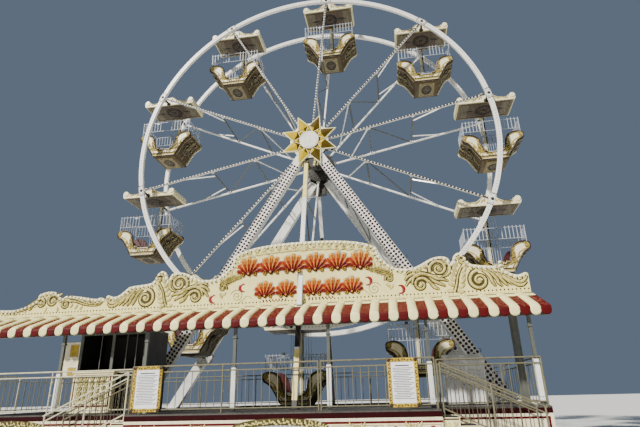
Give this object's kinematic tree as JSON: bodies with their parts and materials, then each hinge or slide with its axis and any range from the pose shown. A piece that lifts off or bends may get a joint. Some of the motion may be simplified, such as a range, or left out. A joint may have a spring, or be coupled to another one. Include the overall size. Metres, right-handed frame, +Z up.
{
  "type": "ferris wheel",
  "caption": "Travelling fairground wheel: two rims on an A-frame tower, level hanging gondolas, railed deck with steps, carved front board, striped awning and pay box.",
  "frame": {"origin": "On the ground under the hub, on the flat underside of the middle packing pad", "axes": "+X to the right seen from the front, +Y away from the viewer along the axle, +Z up"},
  "size_m": [18.0411, 9.63, 17.5676],
  "materials": {
    "white_paint": "gloss",
    "cream_paint": "gloss",
    "gold_paint": "satin metallic",
    "dark_paint": "satin",
    "chassis_paint": "matt",
    "rail_paint": "satin",
    "galvanised": "dull zinc",
    "deck_sheet": "worn tread sheet",
    "striped_moulding": "gloss, red and cream stripes"
  },
  "bodies": {
    "root": {"base_frame": "chassis_paint", "deck": "deck_sheet", "skirt_front": "cream_paint", "skirt_back": "cream_paint", "steps_left": "cream_paint", "steps_right": "cream_paint", "stair_rail_left_front": "rail_paint", "stair_rail_left_rear": "rail_paint", "stair_rail_right_front": "rail_paint", "stair_rail_right_rear": "rail_paint", "fence_left": "rail_paint", "fence_landing_left": "rail_paint", "fence_landing_right": "rail_paint", "fence_right": "rail_paint", "fence_end_left": "rail_paint", "fence_end_right": "rail_paint", "fence_rear": "rail_paint", "leg_front_left": "white_paint", "leg_front_right": "white_paint", "leg_rear_left": "white_paint", "leg_rear_right": "white_paint", "tower_head_front": "dark_paint", "tower_head_rear": "dark_paint", "prop_front": "cream_paint", "prop_rear": "cream_paint", "hub_star": "gold_paint", "board_centre": "cream_paint", "board_right": "cream_paint", "board_left": "cream_paint", "board_far_left": "cream_paint", "awning": "striped_moulding", "awning_frame": "galvanised", "pay_box": "dark_paint", "pay_desk": "cream_paint", "notice_board_left": "gold_paint", "notice_board_right": "gold_paint", "drive_housing": "white_paint"},
    "wheel": {"hub": "dark_paint", "rim_front": "white_paint", "rim_rear": "white_paint", "spoke_01": "white_paint", "spoke_02": "white_paint", "spoke_03": "white_paint", "spoke_04": "white_paint", "spoke_05": "white_paint", "spoke_06": "white_paint", "spoke_07": "white_paint", "spoke_08": "white_paint", "spoke_09": "white_paint", "spoke_10": "white_paint"},
    "cabin_01": {"cabin_01": "cream_paint"},
    "cabin_02": {"cabin_02": "cream_paint"},
    "cabin_03": {"cabin_03": "cream_paint"},
    "cabin_04": {"cabin_04": "cream_paint"},
    "cabin_05": {"cabin_05": "cream_paint"},
    "cabin_06": {"cabin_06": "cream_paint"},
    "cabin_07": {"cabin_07": "cream_paint"},
    "cabin_08": {"cabin_08": "cream_paint"},
    "cabin_09": {"cabin_09": "cream_paint"},
    "cabin_10": {"cabin_10": "cream_paint"}
  },
  "joints": [
    {"name": "wheel_spin", "type": "hinge", "parent": "root", "child": "wheel", "pos_m": [0, 0, 10.45], "axis": [0, 1, 0], "continuous": true},
    {"name": "cabin_01_swing", "type": "hinge", "parent": "wheel", "child": "cabin_01", "pos_m": [0.75799, 0, 17.20762], "axis": [0, 1, 0], "continuous": true},
    {"name": "cabin_02_swing", "type": "hinge", "parent": "wheel", "child": "cabin_02", "pos_m": [4.58526, 0, 15.4715], "axis": [0, 1, 0], "continuous": true},
    {"name": "cabin_03_swing", "type": "hinge", "parent": "wheel", "child": "cabin_03", "pos_m": [6.66111, 0, 11.81733], "axis": [0, 1, 0], "continuous": true},
    {"name": "cabin_04_swing", "type": "hinge", "parent": "wheel", "child": "cabin_04", "pos_m": [6.19265, 0, 7.64089], "axis": [0, 1, 0], "continuous": true},
    {"name": "cabin_05_swing", "type": "hinge", "parent": "wheel", "child": "cabin_05", "pos_m": [3.3588, 0, 4.53743], "axis": [0, 1, 0], "continuous": true},
    {"name": "cabin_06_swing", "type": "hinge", "parent": "wheel", "child": "cabin_06", "pos_m": [-0.75799, 0, 3.69238], "axis": [0, 1, 0], "continuous": true},
    {"name": "cabin_07_swing", "type": "hinge", "parent": "wheel", "child": "cabin_07", "pos_m": [-4.58526, 0, 5.4285], "axis": [0, 1, 0], "continuous": true},
    {"name": "cabin_08_swing", "type": "hinge", "parent": "wheel", "child": "cabin_08", "pos_m": [-6.66111, 0, 9.08267], "axis": [0, 1, 0], "continuous": true},
    {"name": "cabin_09_swing", "type": "hinge", "parent": "wheel", "child": "cabin_09", "pos_m": [-6.19265, 0, 13.25911], "axis": [0, 1, 0], "continuous": true},
    {"name": "cabin_10_swing", "type": "hinge", "parent": "wheel", "child": "cabin_10", "pos_m": [-3.3588, 0, 16.36257], "axis": [0, 1, 0], "continuous": true}
  ],
  "couplings": [
    {"joint": "cabin_01_swing", "follows": "wheel_spin", "ratio": -1},
    {"joint": "cabin_02_swing", "follows": "wheel_spin", "ratio": -1},
    {"joint": "cabin_03_swing", "follows": "wheel_spin", "ratio": -1},
    {"joint": "cabin_04_swing", "follows": "wheel_spin", "ratio": -1},
    {"joint": "cabin_05_swing", "follows": "wheel_spin", "ratio": -1},
    {"joint": "cabin_06_swing", "follows": "wheel_spin", "ratio": -1},
    {"joint": "cabin_07_swing", "follows": "wheel_spin", "ratio": -1},
    {"joint": "cabin_08_swing", "follows": "wheel_spin", "ratio": -1},
    {"joint": "cabin_09_swing", "follows": "wheel_spin", "ratio": -1},
    {"joint": "cabin_10_swing", "follows": "wheel_spin", "ratio": -1}
  ]
}
